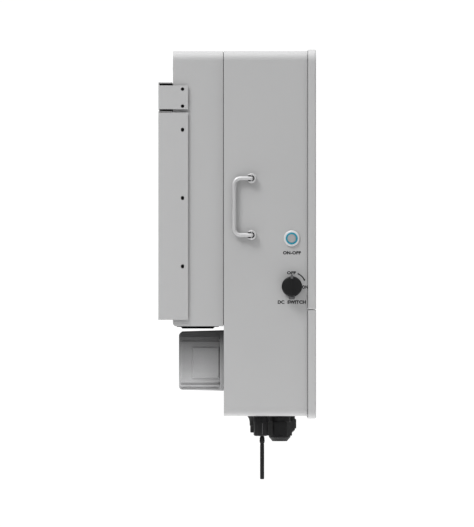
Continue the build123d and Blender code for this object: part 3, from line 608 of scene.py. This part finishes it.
def module():
    """Plug-in module: a many-sided case, ribbed nut above, with a thin raised strip of paler plastic on
    each side as a painted highlight.
    """
    low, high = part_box("module_body")
    centre = (mid("module_body").x, mid("module_body").y, UNDERSIDE)
    radius, top, end = (high.x - low.x) / 2 / MM, 15.6, (UNDERSIDE - low.z) / MM
    flats = 10

    def faceted(angle, r, distance):
        step = 2 * math.pi / flats
        return r * math.cos(step / 2) / math.cos(angle % step - step / 2)

    bm = bmesh.new()
    profile = [(3, top), (radius - 1, top), (radius, top + 1), (radius, end - 3.6),
               (radius - 0.5, end - 2.2), (radius - 2.8, end - 0.3), (radius - 4, end), (3, end)]
    lathe_into(bm, profile, centre, (0, 0, -1), 160, faceted)
    case = to_object("module_case", bm, MATERIALS["black_plastic"], sharp_deg=20)
    add(case, "inverter", "black_plastic", "module_body")

    bm = bmesh.new()
    # Paler raised strips along the sides: their lighter plastic is a painted highlight on the case's edges.
    inside, proud, half = radius - 2, radius + 0.15, 0.55
    y = centre[1] - 4 * MM
    for sign in (-1, 1):
        x = sorted(centre[0] + sign * out * MM for out in (inside, proud))
        block_into(bm, (x[0], y - half * MM, UNDERSIDE - (end - 4) * MM),
                   (x[1], y + half * MM, UNDERSIDE - (top + 2) * MM), 0.2)
    lines = to_object("module_painted_highlight_strips", bm, MATERIALS["pointer_plastic"])
    add(lines, "inverter", "black_plastic")


# ---- antenna ------------------------------------------------------------------------------------
def antenna():
    """Barrel-shaped turning collar with a forked end, and a whip on a tongue in the fork."""
    x, y = mid("antenna_whip").x, mid("antenna_whip").y
    foot, down = Vector((x, y, UNDERSIDE)), (0, 0, -1)
    end = (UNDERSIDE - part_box("antenna_whip")[0].z) / MM
    bm = bmesh.new()
    profile = [(3, 47), (4.4, 49.4), (5.0, 49.8), (5.6, 52), (6.3, 55.5), (6.8, 59), (6.8, 61.5),
               (6.3, 64.5), (5.5, 67), (5.0, 67.5), (0.5, 67.5)]
    lathe_into(bm, profile, foot, down, 96)
    collar = to_object("antenna_collar_barrel", bm, MATERIALS["black_plastic"])
    gap, crown = 2.6, 4.7
    bm = bmesh.new()
    block_into(bm, foot + Vector((-gap, -9, -70)) * MM, foot + Vector((gap, 9, crown - PIVOT_DROP)) * MM)
    carve(collar, to_object("antenna_fork_gap", bm, MATERIALS["black_plastic"]))
    add(collar, "antenna_collar", "black_plastic", "antenna_base")

    tongue, eye, rod = 2.5, 4.4, 5.05
    bm = bmesh.new()
    pin = foot + Vector((0, 0, -PIVOT_DROP)) * MM
    block_into(bm, pin + Vector((-tongue, -eye, -10)) * MM, pin + Vector((tongue, eye, 0)) * MM, 0.3)
    profile = [(0.5, -tongue), (eye - 0.2, -tongue), (eye, 0.2 - tongue), (eye, tongue - 0.2),
               (eye - 0.2, tongue), (0.5, tongue)]
    lathe_into(bm, profile, pin, (1, 0, 0), 64)
    profile = [(0.5, 68.3), (rod - 0.6, 68.3), (rod, 69), (rod, 110), (rod, end - 2),
               (rod - 0.4, end - 0.9), (rod - 1.3, end - 0.1), (rod - 2, end), (0.5, end)]
    lathe_into(bm, profile, foot, down, 96)
    whip = to_object("antenna_rod_whip", bm, MATERIALS["black_plastic"])
    add(whip, "antenna_rod", "black_plastic", "antenna_whip")


def carve(piece, tool):
    """Cut the tool's shape out of the piece, and drop the tool."""
    modifier = piece.modifiers.new("carve", "BOOLEAN")
    modifier.operation = "DIFFERENCE"
    modifier.object = tool
    bpy.context.view_layer.update()
    mesh = bpy.data.meshes.new_from_object(piece.evaluated_get(bpy.context.evaluated_depsgraph_get()))
    piece.modifiers.clear()
    piece.data = mesh
    bpy.data.objects.remove(tool)


# ---- small fasteners and trim -------------------------------------------------------------------
def pan_head(bm, place, direction, radius=3.6):
    """Nearly flush screw head with a six-lobed recess."""
    def recess(angle, r, distance):
        if r > radius * 0.5:
            return r
        return r * (0.86 + 0.14 * math.cos(6 * angle))

    profile = [
        (0.05, -0.9), (radius * 0.42, -0.9), (radius * 0.45, 0.3), (radius * 0.62, 0.4),
        (radius * 0.86, 0.25), (radius, 0.05), (radius, -1.0), (0.05, -1.0),
    ]
    lathe_into(bm, profile, place, direction, 48, recess)


def shroud_screws():
    """Screws around the heat-sink shroud's rear face."""
    low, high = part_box("rear_shroud")
    bm = bmesh.new()
    inset = 14 * MM
    for x in (low.x + inset, high.x - inset):
        for z in (high.z - 42 * MM, low.z + inset):
            pan_head(bm, (x, high.y, z), (0, 1, 0))
    add(to_object("shroud_screws", bm, MATERIALS["steel_screw"]), "inverter", "steel_screw")


def thread_inserts():
    """Blind threaded inserts behind the holes in the bracket's ears and the frame's flanges; their
    near-black coat is painted shade for the dark holes.
    """
    bm = bmesh.new()
    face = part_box("rear_frame")[1].x
    y = -HOLE_DEPTH * MM
    profile = [(3.7, 0.8), (4.6, 0.8), (4.6, 4), (3.9, 4.2), (3.9, 16), (0.5, 16), (0.5, 14.5), (3.2, 14.5)]
    for sign in (-1, 1):
        for height in HOLE_HEIGHTS:
            z = UNDERSIDE + height * MM
            lathe_into(bm, profile, (sign * face, y, z), (-sign, 0, 0), 48, hollow=True)
    inserts = to_object("flange_thread_inserts", bm, MATERIALS["dark_steel"])
    add(inserts, "inverter", "dark_steel")


def recess_shade_discs():
    """Thin near-black rubber discs in the bosses' recesses, under the handles' feet: painted shade for the
    dark recesses.
    """
    bm = bmesh.new()
    for node in ("handle_bosses_left", "handle_bosses_right"):
        low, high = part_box(node)
        sign = 1 if low.x > 0 else -1
        boss = (high.y - low.y) / 2
        # Near-black discs and channels 0.4 mm thick: painted shade inside the recesses.
        half, back, front = 7.3, 2.95, 3.35
        disc = [(0.5, back), (half, back), (half, front), (0.5, front)]
        x = sorted(-sign * SIDE_X + sign * lift * MM for lift in (back, front))
        y = mid(node).y
        for z in (low.z + boss, high.z - boss):
            lathe_into(bm, disc, (-sign * SIDE_X, y, z), (sign, 0, 0), 64)
            block_into(bm, (x[0], y, z - half * MM), (x[1], y + 0.76 * boss, z + half * MM), 0.1)
    add(to_object("handle_recess_shade_discs", bm, MATERIALS["seal_rubber"]), "inverter", "seal_rubber")


def status_window():
    """Smoked window set a little back behind a thin bevelled frame."""
    low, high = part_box("status_window")
    centre = mid("status_window")
    corners = ((-1, -1), (1, -1), (1, 1), (-1, 1))
    rim, bevel, thick = 3.2, 0.5, 0.9
    bm = bmesh.new()
    rings = []
    for inset, back in ((0, thick), (0, 0), (rim - bevel, 0), (rim, bevel), (rim, thick)):
        wide = (high.x - low.x) / 2 - inset * MM
        tall = (high.z - low.z) / 2 - inset * MM
        y = low.y + back * MM
        rings.append([bm.verts.new((centre.x + i * wide, y, centre.z + k * tall)) for i, k in corners])
    for outer, inner in zip(rings, rings[1:] + rings[:1]):
        for i in range(4):
            j = (i + 1) % 4
            bm.faces.new((outer[i], outer[j], inner[j], inner[i]))
    add(to_object("status_window_frame", bm, MATERIALS["grey_plastic"]), "inverter", "grey_plastic")

    bm = bmesh.new()
    block_into(bm, (low.x, low.y + thick * MM, low.z), high, 0.1)
    glass = to_object("status_window_pane", bm, MATERIALS["window"])
    add(glass, "inverter", "window", "status_window")


# ---- camera, floor and light --------------------------------------------------------------------
HORIZON = 0.12                # brightness of the white surroundings, level and overhead
ZENITH = 1.45
VIEW_DISTANCE = 30.0
VIEW_HEIGHT_SPAN = 1.2838     # height of the framed plane
VIEW_CENTRE = Vector((-0.265, -0.1917, -0.407))
FLOOR_HALF = 2.6
FLOOR_LEVEL = -1.12
LIGHTS = (                    # name, place, aim, size, watts
    ("top_light", (-0.6, -0.2, 3.0), (0, -0.2, 0.0), 2.0, 30),
    ("side_light", (-1.75, 1.3, 2.4), (-0.25, -0.2, -0.4), 1.1, 85),
    ("floor_glow", (-0.06, -0.22, -1.11), (-0.06, -0.22, -0.6), 0.5, 0.9),
    ("front_light", (1.1, -2.4, 1.0), (0.0, -0.3, -0.4), 1.4, 20),
)


def surroundings():
    """White surroundings, brighter overhead, that the camera sees as plain white."""
    world = bpy.data.worlds.new("studio_white")
    world.use_nodes = True
    background = world.node_tree.nodes["Background"]
    background.inputs["Color"].default_value = (1, 1, 1, 1)
    tree = world.node_tree
    seen = tree.nodes.new("ShaderNodeLightPath")
    facing = tree.nodes.new("ShaderNodeTexCoord")
    parts = tree.nodes.new("ShaderNodeSeparateXYZ")
    dome = tree.nodes.new("ShaderNodeMapRange")
    level = tree.nodes.new("ShaderNodeMix")
    dome.inputs["From Min"].default_value = -0.1
    dome.inputs["To Min"].default_value = HORIZON
    dome.inputs["To Max"].default_value = ZENITH
    level.inputs["B"].default_value = 1.06
    tree.links.new(facing.outputs["Generated"], parts.inputs["Vector"])
    tree.links.new(parts.outputs["Z"], dome.inputs["Value"])
    tree.links.new(seen.outputs["Is Camera Ray"], level.inputs["Factor"])
    tree.links.new(dome.outputs["Result"], level.inputs["A"])
    tree.links.new(level.outputs["Result"], background.inputs["Strength"])
    bpy.context.scene.world = world


def view():
    """Camera far off the left side, and the soft lights."""
    scene = bpy.context.scene
    scene.view_settings.view_transform = "Standard"
    scene.view_settings.look = "None"
    camera = bpy.data.cameras.new("side_view")
    camera.lens = camera.sensor_width * VIEW_DISTANCE / VIEW_HEIGHT_SPAN
    camera.clip_end = 100
    viewer = bpy.data.objects.new("side_view", camera)
    viewer.location = VIEW_CENTRE + Vector((-VIEW_DISTANCE, 0, 0))
    viewer.rotation_euler = (math.radians(90), 0, math.radians(-90))
    scene.collection.objects.link(viewer)
    scene.camera = viewer

    for name, place, aim, size, watts in LIGHTS:
        data = bpy.data.lights.new(name, "AREA")
        data.size = size
        data.energy = watts
        lamp = bpy.data.objects.new(name, data)
        lamp.location = place
        lamp.rotation_euler = (Vector(aim) - Vector(place)).to_track_quat("-Z", "Y").to_euler()
        scene.collection.objects.link(lamp)


def floor():
    s = Shader("floor_pale")
    tone = s.ramp(s.noise(1.5), (0.3, (0.90, 0.90, 0.90)), (0.7, (0.93, 0.93, 0.93)))
    s.set(Base_Color=tone, Roughness=0.8)
    bm = bmesh.new()
    corners = ((-1, -1), (1, -1), (1, 1), (-1, 1))
    bm.faces.new([bm.verts.new((i * FLOOR_HALF, k * FLOOR_HALF, FLOOR_LEVEL)) for i, k in corners])
    to_object("studio_floor", bm, s.material)


finish_nodes()
knob()
lettering()
power_button()
gland_nuts("large_gland_nuts", "large_gland_caps", 27.2, 17, 14, 48, 18.3)
gland_nuts("small_gland_nuts", "small_gland_caps", 20.0, 9, 10, 33, 13)
pv_sockets("pv_sockets_positive")
pv_sockets("pv_sockets_negative")
module()
antenna()
thread_inserts()
recess_shade_discs()
shroud_screws()
status_window()
surroundings()
view()
floor()
